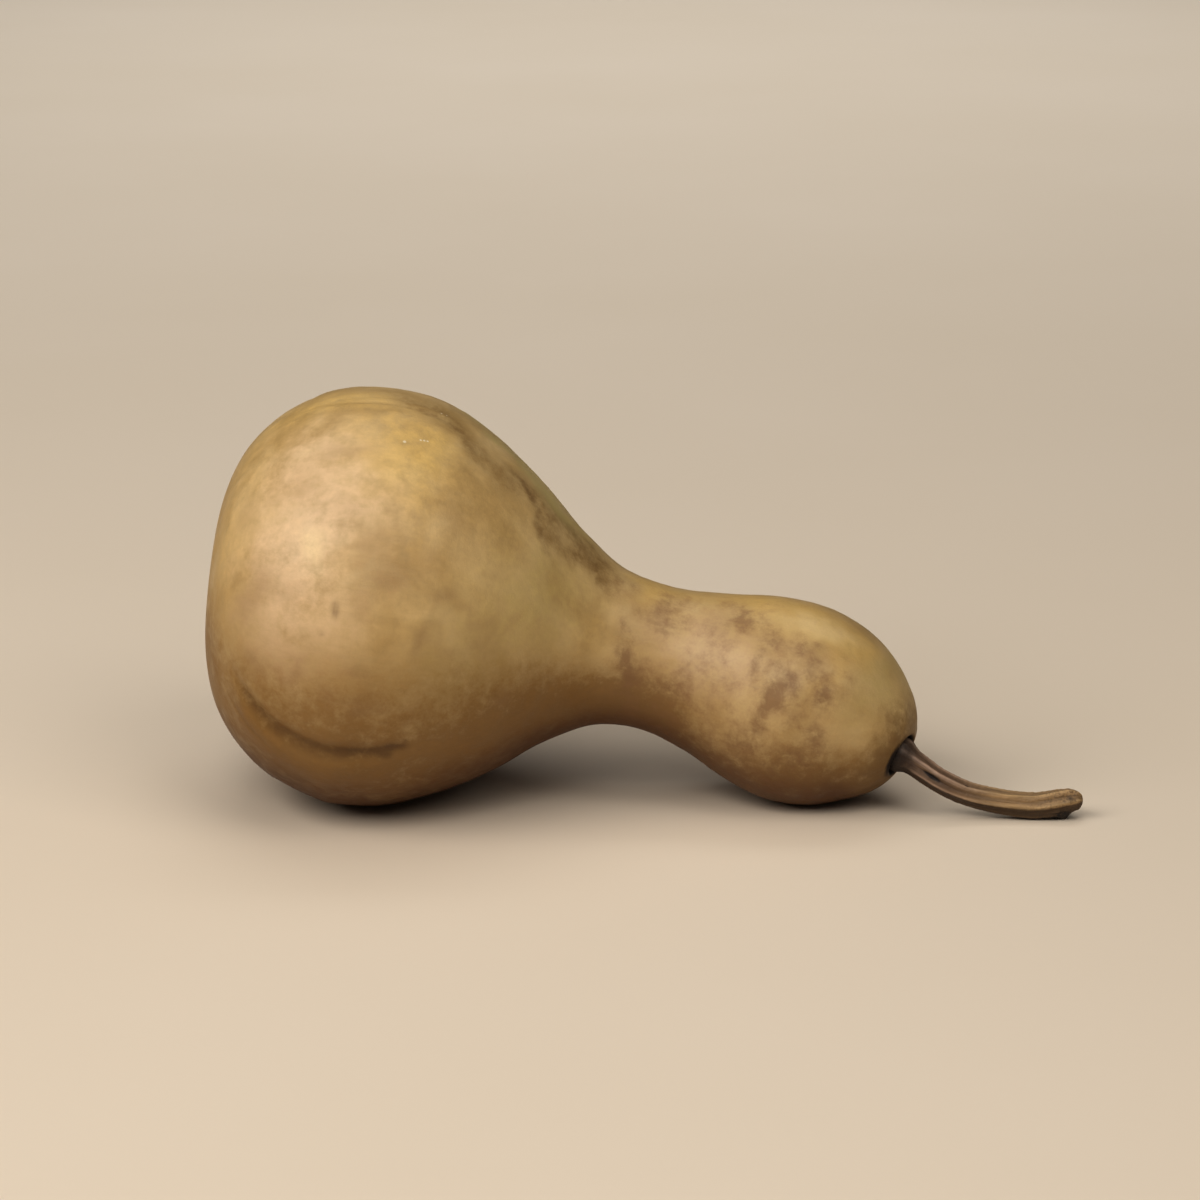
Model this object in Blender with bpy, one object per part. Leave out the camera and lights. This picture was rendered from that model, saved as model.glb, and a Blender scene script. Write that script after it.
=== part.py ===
"""A dried bottle gourd lying on its side: large bulb, waist, small bulb and a ridged woody stem.

Metres, +Z up. The origin is on the surface that the gourd lies on, under the middle of its
bounding box. +X runs from the blossom end to the stem. The crease and the stem's tip are on
the -Y side.
"""

import math

import bmesh
import bpy
import numpy as np

# The fruit's radii and the line down its middle
LARGE_RADIUS = 0.0584
WAIST_RADIUS = 0.0203
SMALL_RADIUS = 0.0280
BODY_PATH = (
    (-0.1202, 0.0000, 0.0628),
    (-0.0980, 0.0000, 0.0602),
    (-0.0800, 0.0000, 0.0579),
    (-0.0640, -0.0004, 0.0545),
    (-0.0480, -0.0010, 0.0512),
    (-0.0204, -0.0022, 0.0458),
    (0.0032, -0.0036, 0.0408),
    (0.0292, -0.0056, 0.0334),
    (0.0450, -0.0075, 0.0278),
    (0.0592, -0.0122, 0.0223),
    (0.0735, -0.0195, 0.0161),
)

# The fruit's outline: distance along the middle line from the blossom end, and radius.
# The last points are the rim, wall and floor of the hollow that the stem sits in.
BODY_OUTLINE = (
    (0.0008, 0.0000),
    (0.0000, 0.0060),
    (0.0011, 0.0246),
    (0.0056, 0.0368),
    (0.0140, 0.0472),
    (0.0280, 0.0556),
    (0.0420, LARGE_RADIUS),
    (0.0580, 0.0563),
    (0.0720, 0.0500),
    (0.0865, 0.0406),
    (0.1005, 0.0292),
    (0.1130, 0.0221),
    (0.1265, WAIST_RADIUS),
    (0.1410, 0.0227),
    (0.1550, 0.0266),
    (0.1680, SMALL_RADIUS),
    (0.1820, 0.0250),
    (0.1920, 0.0186),
    (0.1980, 0.0126),
    (0.2005, 0.0080),
    (0.2008, 0.0064),
    (0.2001, 0.0058),
    (0.1988, 0.0056),
    (0.1983, 0.0047),
    (0.1983, 0.0000),
)
BODY_STEP = 0.0056
BODY_SIDES = 64
BODY_CROWDING = 0.4

# The crease low on the large bulb's -Y side: distance along the middle line, and angle down
# from the -Y side. Its lower lip swells over the groove.
CREASE = (
    (0.009, math.radians(-15.5)),
    (0.014, math.radians(-21.4)),
    (0.0205, math.radians(-26.3)),
    (0.028, math.radians(-29.5)),
    (0.037, math.radians(-30.6)),
    (0.046, math.radians(-30.0)),
    (0.054, math.radians(-28.4)),
    (0.066, math.radians(-26)),
)
CREASE_DEPTH = 0.0014
CREASE_HALF_WIDTH = 0.0030
LIP_HEIGHT = 0.0009
LIP_OFFSET = 0.0085
LIP_HALF_WIDTH = 0.0070
CREASE_FADE_IN = 0.006
CREASE_FADE_OUT = 0.016
CROWD_ANGLE = math.radians(-25)

# Uneven growth: how far the section departs from a circle, as a share of the radius, then the
# turn at the blossom end and the turn per metre along the fruit, in radians
OVAL = 0.010
OVAL_TURN = 1.2
OVAL_TWIST = 9.0
THREE_SIDED = 0.007
THREE_TURN = 1.3
THREE_TWIST = 14.0

# The stem: its seat in the hollow, the line down its middle from there on, then distance
# along that line and radius
SEAT_GAP = 0.0003
STEM_STRAIGHT = 0.0045
STEM_PATH = (
    (0.0820, -0.0233, 0.0111),
    (0.0886, -0.0239, 0.0078),
    (0.0958, -0.0241, 0.0057),
    (0.1027, -0.0243, 0.0045),
    (0.1093, -0.0244, 0.0040),
    (0.1137, -0.0244, 0.0045),
    (0.1185, -0.0243, 0.0053),
    (0.1230, -0.0242, 0.0055),
)
STEM_OUTLINE = (
    (0.0003, 0.0000),
    (0.0000, 0.0042),
    (0.0009, 0.0049),
    (0.0029, 0.0049),
    (0.0052, 0.0039),
    (0.0100, 0.0033),
    (0.0180, 0.0031),
    (0.0280, 0.0031),
    (0.0360, 0.0032),
    (0.0440, 0.0034),
    (0.0500, 0.0035),
    (0.0532, 0.0032),
    (0.0552, 0.0023),
    (0.0561, 0.0011),
    (0.0563, 0.0000),
)
STEM_STEP = 0.0022
STEM_SIDES = 30
STEM_CROWDING = 0.0
STEM_RIDGES = 6
RIDGE_HEIGHT = 0.10
RIDGE_POWER = 1.3
RIDGE_START = 0.0030
RIDGE_FULL = 0.0110
# The first ridge's angle at the seat, and how far the ridges turn over the stem's whole length
RIDGE_TURN = math.radians(24)
RIDGE_TWIST = math.radians(-50)

# The nub under the stem's tip, which rests on the surface
NUB_AT = 0.0500
NUB_HEIGHT = 0.0023
NUB_HALF_LENGTH = 0.0022
NUB_HALF_ANGLE = math.radians(24)

# Half the distance over which a line's direction is read
NUDGE = 0.0001

RIND_COLOUR = (0.45, 0.30, 0.11, 1.0)
STEM_COLOUR = (0.17, 0.11, 0.055, 1.0)


def clear_scene():
    """Remove whatever the scene holds."""
    for item in list(bpy.data.objects):
        bpy.data.objects.remove(item, do_unlink=True)


def smooth_curve(knots, values, where):
    """Values of a smooth curve through the points: a cubic in each span, whose slope at a
    knot is that of the parabola through it and its two neighbours. It runs on straight past
    both ends."""
    knots = np.asarray(knots, float)
    values = np.asarray(values, float)
    span = np.diff(knots)[:, None]
    chord = np.diff(values, axis=0) / span
    slope = np.empty_like(values)
    slope[1:-1] = (span[1:] * chord[:-1] + span[:-1] * chord[1:]) / (span[:-1] + span[1:])
    slope[0] = 1.5 * chord[0] - 0.5 * slope[1]
    slope[-1] = 1.5 * chord[-1] - 0.5 * slope[-2]
    inside = np.clip(where, knots[0], knots[-1])
    index = np.clip(np.searchsorted(knots, inside, side="right") - 1, 0, len(knots) - 2)
    part = ((inside - knots[index]) / span[index, 0])[..., None]
    rest = 1.0 - part
    past = (where - inside)[..., None]
    return (
        values[index] * rest**2 * (1 + 2 * part)
        + values[index + 1] * part**2 * (3 - 2 * part)
        + span[index] * part * rest * (slope[index] * rest - slope[index + 1] * part)
        + past * np.where(past > 0, slope[-1], slope[0])
    )


def distances(points):
    """Distance of each point from the first, along straight lines between them."""
    steps = np.linalg.norm(np.diff(np.asarray(points, float), axis=0), axis=1)
    return np.concatenate([[0.0], np.cumsum(steps)])


def ring_profile(outline, step):
    """Distance along the middle line and radius of each ring. Every span of the outline is cut
    into equal parts of about one step, and both ends run square onto the axis."""
    points = np.asarray(outline, float)
    mirrored = np.vstack([points[1] * (1, -1), points, points[-2] * (1, -1)])
    knots = distances(mirrored)
    spans = zip(knots[1:-2], knots[2:-1])
    where = [np.linspace(a, b, max(1, round((b - a) / step)), endpoint=False) for a, b in spans]
    where = np.concatenate(where + [knots[-2:-1]])
    return smooth_curve(knots, mirrored, where).T


def middle_line(path, along):
    """Points of the middle line and, at each, its direction, the -Y side and the upper side."""
    knots = distances(path)
    points = smooth_curve(knots, path, along)
    ahead = smooth_curve(knots, path, along + NUDGE) - smooth_curve(knots, path, along - NUDGE)
    ahead /= np.linalg.norm(ahead, axis=-1, keepdims=True)
    near = np.array((0.0, -1.0, 0.0)) + ahead * ahead[..., 1:2]
    near /= np.linalg.norm(near, axis=-1, keepdims=True)
    return points, ahead, near, np.cross(near, ahead)


def stem_path():
    """The stem's middle line: straight out of the hollow first, then through its own points."""
    floor, ahead, _, _ = middle_line(BODY_PATH, np.array([BODY_OUTLINE[-1][0]]))
    seat = floor[0] + ahead[0] * SEAT_GAP
    return np.vstack([seat, seat + ahead[0] * STEM_STRAIGHT, STEM_PATH])


def bump(distance, half_width):
    """A smooth bump, 1 at the middle and near 0 past two half widths."""
    return np.exp(-((distance / half_width) ** 2))


def ramp(distance, start, full):
    """0 up to the start, 1 from full on, and straight between them."""
    return np.clip((distance - start) / (full - start), 0, 1)


def body_radius(along, radius, angle):
    """The fruit's radius: its outline, made slightly uneven, with the crease pressed in."""
    oval = OVAL * np.cos(2 * angle + OVAL_TURN + OVAL_TWIST * along)
    three_sided = THREE_SIDED * np.cos(3 * angle + THREE_TURN + THREE_TWIST * along)
    start, end = CREASE[0][0], CREASE[-1][0]
    line = smooth_curve([knot[0] for knot in CREASE], [knot[1:] for knot in CREASE], along)
    beside = (angle - line[..., 0]) * LARGE_RADIUS
    groove = CREASE_DEPTH * bump(beside, CREASE_HALF_WIDTH)
    lip = LIP_HEIGHT * bump(beside + LIP_OFFSET, LIP_HALF_WIDTH)
    fade = ramp(along, start, start + CREASE_FADE_IN) * ramp(-along, -end, CREASE_FADE_OUT - end)
    return radius * (1 + oval + three_sided) + (lip - groove) * fade


def stem_radius(along, radius, angle):
    """The stem's radius: rounded ridges with narrow grooves between, and the nub below."""
    turned = angle - RIDGE_TURN + RIDGE_TWIST * along / STEM_OUTLINE[-1][0]
    ridges = 1 - 2 * np.abs(np.sin(turned * STEM_RIDGES / 2)) ** RIDGE_POWER
    height = RIDGE_HEIGHT * ramp(along, RIDGE_START, RIDGE_FULL)
    from_below = np.arctan2(np.cos(angle), -np.sin(angle))
    nub = NUB_HEIGHT * bump(along - NUB_AT, NUB_HALF_LENGTH) * bump(from_below, NUB_HALF_ANGLE)
    return radius * (1 + height * ridges) + nub


def round_solid(name, path, outline, step, sides, crowding, radius_of, material):
    """A closed skin of rings across the middle line: a UV sphere whose vertices are moved
    there, and none of them below the surface that the gourd lies on. Crowding brings the
    vertices closer together on the crease's side."""
    along, radius = ring_profile(outline, step)
    points, _, near, upper = middle_line(path, along)
    rings = len(along) - 1
    mesh = bpy.data.meshes.new(name)
    bm = bmesh.new()
    bmesh.ops.create_uvsphere(bm, u_segments=sides, v_segments=rings, radius=1.0)
    ball = np.array([vertex.co for vertex in bm.verts], float)
    ring = np.rint(np.arccos(np.clip(ball[:, 2], -1, 1)) / math.pi * rings).astype(int)
    angle = np.arctan2(ball[:, 1], ball[:, 0])
    angle -= crowding * np.sin(angle - CROWD_ANGLE)
    across = near[ring] * np.cos(angle)[:, None] + upper[ring] * np.sin(angle)[:, None]
    places = points[ring] + across * radius_of(along[ring], radius[ring], angle)[:, None]
    pole = (ring == 0) | (ring == rings)
    places[pole] = points[ring[pole]]
    places[:, 2] = np.maximum(places[:, 2], 0.0)
    for vertex, place in zip(bm.verts, places):
        vertex.co = place
    bm.to_mesh(mesh)
    bm.free()
    mesh.shade_smooth()
    solid = bpy.data.objects.new(name, mesh)
    mesh.materials.append(material)
    bpy.context.scene.collection.objects.link(solid)
    return solid


def finish(name, colour, roughness):
    """A Principled material of one colour."""
    material = bpy.data.materials.new(name)
    material.use_nodes = True
    shader = material.node_tree.nodes["Principled BSDF"]
    shader.inputs["Base Color"].default_value = colour
    shader.inputs["Roughness"].default_value = roughness
    shader.inputs["Metallic"].default_value = 0.0
    return material


def gourd_body():
    """The fruit, with the hollow for the stem at its small end."""
    rind = finish("dried_rind", RIND_COLOUR, 0.45)
    mesh_size = (BODY_STEP, BODY_SIDES, BODY_CROWDING)
    return round_solid("gourd_body", BODY_PATH, BODY_OUTLINE, *mesh_size, body_radius, rind)


def stem():
    """The woody stem, its flared foot in the hollow with a fine gap all round."""
    wood = finish("stem_wood", STEM_COLOUR, 0.65)
    mesh_size = (STEM_STEP, STEM_SIDES, STEM_CROWDING)
    return round_solid("stem", stem_path(), STEM_OUTLINE, *mesh_size, stem_radius, wood)


def main():
    clear_scene()
    gourd_body()
    stem()


main()
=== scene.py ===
"""A dried bottle gourd lying on its side, dressed over its solids.

Metres, +Z up. +X runs from the blossom end to the stem, and the camera stands on the -Y side. The
fruit and the stem are fine surfaces of the same form as the solids: rings across a curved middle
line, a distance along that line and an angle round it giving each point. Angles run from the -Y
side, 0 degrees, up over the top at 90 degrees.
"""

import math

import bpy
import numpy as np
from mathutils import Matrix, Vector


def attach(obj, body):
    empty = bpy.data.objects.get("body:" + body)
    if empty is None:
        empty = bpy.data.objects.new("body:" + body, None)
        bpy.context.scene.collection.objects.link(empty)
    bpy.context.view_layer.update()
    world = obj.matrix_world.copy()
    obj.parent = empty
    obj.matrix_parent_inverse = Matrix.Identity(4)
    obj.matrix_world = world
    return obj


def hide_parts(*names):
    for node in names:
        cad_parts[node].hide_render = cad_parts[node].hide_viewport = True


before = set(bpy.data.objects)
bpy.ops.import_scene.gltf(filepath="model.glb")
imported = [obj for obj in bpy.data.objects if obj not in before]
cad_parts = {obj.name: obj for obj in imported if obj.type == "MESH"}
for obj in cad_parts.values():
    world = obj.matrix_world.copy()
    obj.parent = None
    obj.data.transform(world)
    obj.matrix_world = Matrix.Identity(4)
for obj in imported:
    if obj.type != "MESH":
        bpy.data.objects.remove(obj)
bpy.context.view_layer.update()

# The fruit's form, as in the solids: points of its middle line, its outline as distances along
# that line and radii, and the crease as distances and angles
LARGE_RADIUS = 0.0584
WAIST_RADIUS = 0.0203
SMALL_RADIUS = 0.0280
BODY_PATH = (
    (-0.1202, 0.0000, 0.0628),
    (-0.0980, 0.0000, 0.0602),
    (-0.0800, 0.0000, 0.0579),
    (-0.0640, -0.0004, 0.0545),
    (-0.0480, -0.0010, 0.0512),
    (-0.0204, -0.0022, 0.0458),
    (0.0032, -0.0036, 0.0408),
    (0.0292, -0.0056, 0.0334),
    (0.0450, -0.0075, 0.0278),
    (0.0592, -0.0122, 0.0223),
    (0.0735, -0.0195, 0.0161),
)
BODY_OUTLINE = (
    (0.0008, 0.0000),
    (0.0000, 0.0060),
    (0.0011, 0.0246),
    (0.0056, 0.0368),
    (0.0140, 0.0472),
    (0.0280, 0.0556),
    (0.0420, LARGE_RADIUS),
    (0.0580, 0.0563),
    (0.0720, 0.0500),
    (0.0865, 0.0406),
    (0.1005, 0.0292),
    (0.1130, 0.0221),
    (0.1265, WAIST_RADIUS),
    (0.1410, 0.0227),
    (0.1550, 0.0266),
    (0.1680, SMALL_RADIUS),
    (0.1820, 0.0250),
    (0.1920, 0.0186),
    (0.1980, 0.0126),
    (0.2005, 0.0080),
    (0.2008, 0.0064),
    (0.2001, 0.0058),
    (0.1988, 0.0056),
    (0.1983, 0.0047),
    (0.1983, 0.0000),
)
CREASE = (
    (0.009, math.radians(-15.5)),
    (0.014, math.radians(-21.4)),
    (0.0205, math.radians(-26.3)),
    (0.028, math.radians(-29.5)),
    (0.037, math.radians(-30.6)),
    (0.046, math.radians(-30.0)),
    (0.054, math.radians(-28.4)),
    (0.066, math.radians(-26)),
)
CREASE_DEPTH = 0.0014
CREASE_HALF_WIDTH = 0.0030
LIP_HEIGHT = 0.0009
LIP_OFFSET = 0.0085
LIP_HALF_WIDTH = 0.0070
CREASE_FADE_IN = 0.006
CREASE_FADE_OUT = 0.016
OVAL, OVAL_TURN, OVAL_TWIST = 0.010, 1.2, 9.0
THREE_SIDED, THREE_TURN, THREE_TWIST = 0.007, 1.3, 14.0

# The stem's form, as in the solids: points of its middle line after the seat, and its outline
SEAT_GAP = 0.0003
STEM_STRAIGHT = 0.0045
STEM_PATH = (
    (0.0820, -0.0233, 0.0111),
    (0.0886, -0.0239, 0.0078),
    (0.0958, -0.0241, 0.0057),
    (0.1027, -0.0243, 0.0045),
    (0.1093, -0.0244, 0.0040),
    (0.1137, -0.0244, 0.0045),
    (0.1185, -0.0243, 0.0053),
    (0.1230, -0.0242, 0.0055),
)
STEM_OUTLINE = (
    (0.0003, 0.0000),
    (0.0000, 0.0042),
    (0.0009, 0.0049),
    (0.0029, 0.0049),
    (0.0052, 0.0039),
    (0.0100, 0.0033),
    (0.0180, 0.0031),
    (0.0280, 0.0031),
    (0.0360, 0.0032),
    (0.0440, 0.0034),
    (0.0500, 0.0035),
    (0.0532, 0.0032),
    (0.0552, 0.0023),
    (0.0561, 0.0011),
    (0.0563, 0.0000),
)
STEM_RIDGES = 6
RIDGE_HEIGHT = 0.10
RIDGE_POWER = 1.3
RIDGE_START, RIDGE_FULL = 0.0030, 0.0110
# The first ridge's angle at the seat, and how far the ridges turn over the stem's whole length
RIDGE_TURN, RIDGE_TWIST = math.radians(24), math.radians(-50)
NUB_AT, NUB_HEIGHT, NUB_HALF_LENGTH = 0.0500, 0.0023, 0.0022
NUB_HALF_ANGLE = math.radians(24)
# Half the distance between the two near points that give the middle line's direction
NUDGE = 0.0001

# Grid steps: along the outline, in metres, and points round a ring
RIND_STEP, RIND_POINTS = 0.00092, 330
WOOD_STEP, WOOD_POINTS = 0.00035, 150

MM = 0.001


# Shared arithmetic


def smooth_curve(knots, values, where):
    """Values of a smooth curve through the points: a cubic in each span, whose slope at a knot
    is that of the parabola through it and its two neighbours, and straight on past both ends."""
    knots = np.asarray(knots, float)
    values = np.asarray(values, float)
    span = np.diff(knots)[:, None]
    chord = np.diff(values, axis=0) / span
    slope = np.empty_like(values)
    slope[1:-1] = (span[1:] * chord[:-1] + span[:-1] * chord[1:]) / (span[:-1] + span[1:])
    slope[0] = 1.5 * chord[0] - 0.5 * slope[1]
    slope[-1] = 1.5 * chord[-1] - 0.5 * slope[-2]
    inside = np.clip(where, knots[0], knots[-1])
    index = np.clip(np.searchsorted(knots, inside, side="right") - 1, 0, len(knots) - 2)
    part = ((inside - knots[index]) / span[index, 0])[..., None]
    rest = 1.0 - part
    past = (where - inside)[..., None]
    return (
        values[index] * rest**2 * (1 + 2 * part)
        + values[index + 1] * part**2 * (3 - 2 * part)
        + span[index] * part * rest * (slope[index] * rest - slope[index + 1] * part)
        + past * np.where(past > 0, slope[-1], slope[0])
    )


def distances(points):
    """Distance of each point from the first, along straight lines between them."""
    steps = np.linalg.norm(np.diff(np.asarray(points, float), axis=0), axis=1)
    return np.concatenate([[0.0], np.cumsum(steps)])


def ring_profile(outline, step):
    """Distance along the middle line and radius of each ring: the outline's smooth curve, each
    span cut into equal parts of about one step, and both ends running square onto the axis."""
    points = np.asarray(outline, float)
    mirrored = np.vstack([points[1] * (1, -1), points, points[-2] * (1, -1)])
    knots = distances(mirrored)
    spans = zip(knots[1:-2], knots[2:-1])
    where = [np.linspace(a, b, max(1, round((b - a) / step)), endpoint=False) for a, b in spans]
    where = np.concatenate(where + [knots[-2:-1]])
    return smooth_curve(knots, mirrored, where).T


def middle_line(path, along):
    """Points of the middle line and, at each, its direction, the -Y side and the upper side: the
    direction is the difference of two near points, and the sides are square to it."""
    knots = distances(path)
    points = smooth_curve(knots, path, along)
    ahead = smooth_curve(knots, path, along + NUDGE) - smooth_curve(knots, path, along - NUDGE)
    ahead /= np.linalg.norm(ahead, axis=-1, keepdims=True)
    near = np.array((0.0, -1.0, 0.0)) + ahead * ahead[..., 1:2]
    near /= np.linalg.norm(near, axis=-1, keepdims=True)
    return points, ahead, near, np.cross(near, ahead)


def stem_path():
    """The stem's middle line: straight out of the hollow first, then through its own points."""
    floor, ahead, _, _ = middle_line(BODY_PATH, np.array([BODY_OUTLINE[-1][0]]))
    seat = floor[0] + ahead[0] * SEAT_GAP
    return np.vstack([seat, seat + ahead[0] * STEM_STRAIGHT, STEM_PATH])


def bump(distance, half_width):
    """A smooth bump: e to the minus square of the distance over the half width."""
    return np.exp(-((distance / half_width) ** 2))


def ramp(distance, start, full):
    """0 up to the start, 1 from full on, and straight between them."""
    return np.clip((distance - start) / (full - start), 0, 1)


def ease(value, low, high):
    """An S-shaped step from 0 at low to 1 at high: 3 t squared minus 2 t cubed."""
    share = np.clip((value - low) / (high - low), 0, 1)
    return share * share * (3 - 2 * share)


def ripples(places, size, seed, waves=48):
    """A smooth random field of about -1 to 1: the sum of plane waves near one wavelength, their
    directions and phases drawn from a seeded generator, over the root of half their number."""
    draw = np.random.default_rng(seed)
    direction = draw.normal(size=(waves, 3))
    direction /= np.linalg.norm(direction, axis=1, keepdims=True)
    wave = direction * (math.tau / size) * draw.uniform(0.55, 1.5, (waves, 1))
    phase = draw.uniform(0, math.tau, waves)
    return np.cos(places @ wave.T + phase).sum(-1) / math.sqrt(2 * waves)


def unevenness(places, rows):
    """The sum of smooth random fields. Each row is a strength, a size in metres and a seed."""
    return sum(strength * ripples(places, size, seed) for strength, size, seed in rows)


def marks(along, angle, girth, places):
    """The sum of oval bumps laid on the surface. Each place is a distance along in mm, an angle
    in degrees, half a length and half a breadth in mm, a lean in degrees and a strength."""
    total = np.zeros(np.broadcast(along, angle).shape)
    for place, turn, length, breadth, lean, strength in places:
        ahead = along - place * MM
        aside = (angle - math.radians(turn) + math.pi) % math.tau - math.pi
        aside = aside * girth
        cosine, sine = math.cos(math.radians(lean)), math.sin(math.radians(lean))
        lengthwise = bump(ahead * cosine + aside * sine, length * MM)
        total += strength * lengthwise * bump(aside * cosine - ahead * sine, breadth * MM)
    return total


def strokes(along, angle, girth, line, half_width):
    """How near each point is to a line drawn on the surface: a smooth bump of its distance
    from the nearest of many points of the line's own smooth curve. The line is a row of
    distances in mm, angles in degrees and strengths."""
    knots = distances([(p[0], p[1]) for p in line])
    points = smooth_curve(knots, line, np.linspace(0, knots[-1], 60))
    best = np.zeros(np.broadcast(along, angle).shape)
    for place, turn, strength in points:
        aside = ((angle - math.radians(turn) + math.pi) % math.tau - math.pi) * girth
        apart = np.hypot(along - place * MM, aside)
        best = np.maximum(best, strength * bump(apart, half_width * MM))
    return best


# The fruit's surface

# The blossom's end stops, and the stem's end starts, at these distances along
BLOSSOM_END, STEM_END = 0.020, 0.180
# Near the ends a sideways shift counts over at least this radius
LEAST_GIRTH = 0.006
# How many times longer than wide the streaks in the skin are
STREAK_STRETCH = 9
# Random fields, each row a strength, a size in metres and a seed: the lumps' heights, the shifts
# of the marks along and sideways, and the sideways shift of the painted shade below
LUMPS = ((0.00005, 0.026, 11), (0.00004, 0.011, 12), (0.00004, 0.0045, 13))
DRIFT = ((0.0022, 0.016, 21), (0.0009, 0.006, 22))
SWAY = ((0.0022, 0.014, 23), (0.0009, 0.005, 24))
SHADE_SWAY = ((0.0012, 0.020, 34),)
# The fine relief: depths or heights and half widths, in metres
CORE_DEPTH, CORE_HALF_WIDTH = 0.00015, 0.0014
SECOND_DEPTH, SECOND_HALF_WIDTH_MM = 0.00022, 1.3
WRINKLE_DEPTH, WRINKLE_HALF_WIDTH = 0.00012, 0.0009
SCAR_DEPTH, SCAR_HALF_WIDTH = 0.0003, 0.0022
SCAR_RIM_RADIUS, SCAR_RIM_HEIGHT, SCAR_RIM_HALF_WIDTH = 0.0042, 0.00025, 0.0014
PUCKERS, PUCKER_HEIGHT, PUCKERED = 11, 0.00022, (0.184, 0.199)
# Radii over which the lumps fade in, the distance at which the hollow starts and their share in it
LUMPS_IN, HOLLOW_START, HOLLOW_SHARE = (0.0020, 0.0090), 0.1995, 0.2

# Where, along the fruit, its colours change: where each change starts and where it is complete
ONTO_SMALL_BULB = (0.104, 0.122)
MOTTLES_THIN = (0.176, 0.192)
ONTO_NECK = (0.060, 0.100)
INTO_WAIST, OUT_OF_WAIST = (0.062, 0.092), (0.146, 0.128)
TO_BLOSSOM = (0.008, 0.001)
# Radii over which the brown halo, the black collar and the hollow's painted shade come in
# round the stem
HALO, COLLAR, HOLLOW = (0.0215, 0.0085), (0.0090, 0.0070), (0.0067, 0.0061)
# Toward both ends the skin turns to face along the fruit: the distances past which it does, the
# radii under which it does, and how far it faces down at the very ends
BLOSSOM_PART, STEM_PART = 0.060, 0.168
BLOSSOM_TURNS, STEM_TURNS = 0.050, 0.022
BLOSSOM_SLOPE, STEM_SLOPE = -0.12, 0.40


def crease_fields(along, angle):
    """Distance from the crease's line across the skin, and the crease's own fading at its ends."""
    start, end = CREASE[0][0], CREASE[-1][0]
    line = smooth_curve([knot[0] for knot in CREASE], [knot[1:] for knot in CREASE], along)
    beside = (angle - line[..., 0]) * LARGE_RADIUS
    fade = ramp(along, start, start + CREASE_FADE_IN) * ramp(-along, -end, CREASE_FADE_OUT - end)
    return beside, fade


def body_radius(along, radius, angle):
    """The solids' radius: the outline times one plus an oval and a three-sided wave, plus the
    crease's lip and less its groove."""
    oval = OVAL * np.cos(2 * angle + OVAL_TURN + OVAL_TWIST * along)
    three_sided = THREE_SIDED * np.cos(3 * angle + THREE_TURN + THREE_TWIST * along)
    beside, fade = crease_fields(along, angle)
    groove = CREASE_DEPTH * bump(beside, CREASE_HALF_WIDTH)
    lip = LIP_HEIGHT * bump(beside + LIP_OFFSET, LIP_HALF_WIDTH)
    return radius * (1 + oval + three_sided) + (lip - groove) * fade


# Angle in degrees and strength of each wrinkle over the large bulb's top
TOP_LINES = ((76.0, 0.5), (78.2, 0.8), (80.2, 1.0), (82.0, 0.7), (84.5, 0.8), (87.5, 0.5))
# The wrinkles' two waves: size in degrees, metres along per radian, and the step in phase from
# one wrinkle to the next
WANDERS = ((0.9, 0.009, 2.1), (0.5, 0.004, 1.0))
# The short second crease: distance along in mm, angle in degrees and strength
SECOND_CREASE = ((10.0, -28.5, 0.4), (13.0, -31.0, 1.0), (17.0, -34.0, 1.0), (24.0, -37.0, 0.3))


def top_wrinkles(along, angle):
    """Lengthwise wrinkles over the large bulb's top: narrow bumps at set angles, each wandering
    by two slow waves and fading at both ends."""
    total = np.zeros(np.broadcast(along, angle).shape)
    for number, (turn, strength) in enumerate(TOP_LINES):
        wander = sum(size * np.sin(along / long + step * number) for size, long, step in WANDERS)
        beside = (angle - np.radians(turn + wander)) * LARGE_RADIUS
        start = 0.012 + 0.004 * (number % 3)
        fade = ramp(along, start, start + 0.010) * ramp(-along, -0.066, -0.050)
        total += strength * bump(beside, WRINKLE_HALF_WIDTH) * fade
    return total


def rind_relief(along, angle, girth, places):
    """What the fine surface adds to the solids' radius: a sharper core in the crease and a short
    second crease, slow lumps, the top's wrinkles, puckers round the stem and the blossom scar."""
    beside, fade = crease_fields(along, angle)
    core = -CORE_DEPTH * bump(beside, CORE_HALF_WIDTH) * fade
    second = -SECOND_DEPTH * strokes(along, angle, girth, SECOND_CREASE, SECOND_HALF_WIDTH_MM)
    lumps = unevenness(places, LUMPS)
    wrinkles = -WRINKLE_DEPTH * top_wrinkles(along, angle)
    puckers = PUCKER_HEIGHT * np.sin(PUCKERS * angle + 1.2 * np.sin(2 * angle))
    puckers = puckers * ramp(along, *PUCKERED) ** 2
    rim = SCAR_RIM_HEIGHT * bump(girth - SCAR_RIM_RADIUS, SCAR_RIM_HALF_WIDTH)
    scar = (rim - SCAR_DEPTH * bump(girth, SCAR_HALF_WIDTH)) * (along < BLOSSOM_END)
    hollow = along >= HOLLOW_START
    quiet = np.where(hollow, HOLLOW_SHARE, ease(girth, *LUMPS_IN))
    return core + second + lumps * quiet + wrinkles + puckers * quiet + scar


def on_fruit(place, turn):
    """The point of the solids' surface at a distance along in mm and an angle in degrees: the
    middle line's point there plus the ring's outward direction times the radius."""
    along, radius = ring_profile(BODY_OUTLINE, RIND_STEP)
    nearest = np.abs(along - place * MM).argmin()
    along, radius = along[nearest : nearest + 1], radius[nearest : nearest + 1]
    angle = np.radians([turn])
    points, _, near, upper = middle_line(BODY_PATH, along)
    across = near * np.cos(angle) + upper * np.sin(angle)
    return tuple((points + across * body_radius(along, radius, angle))[0])


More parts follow.
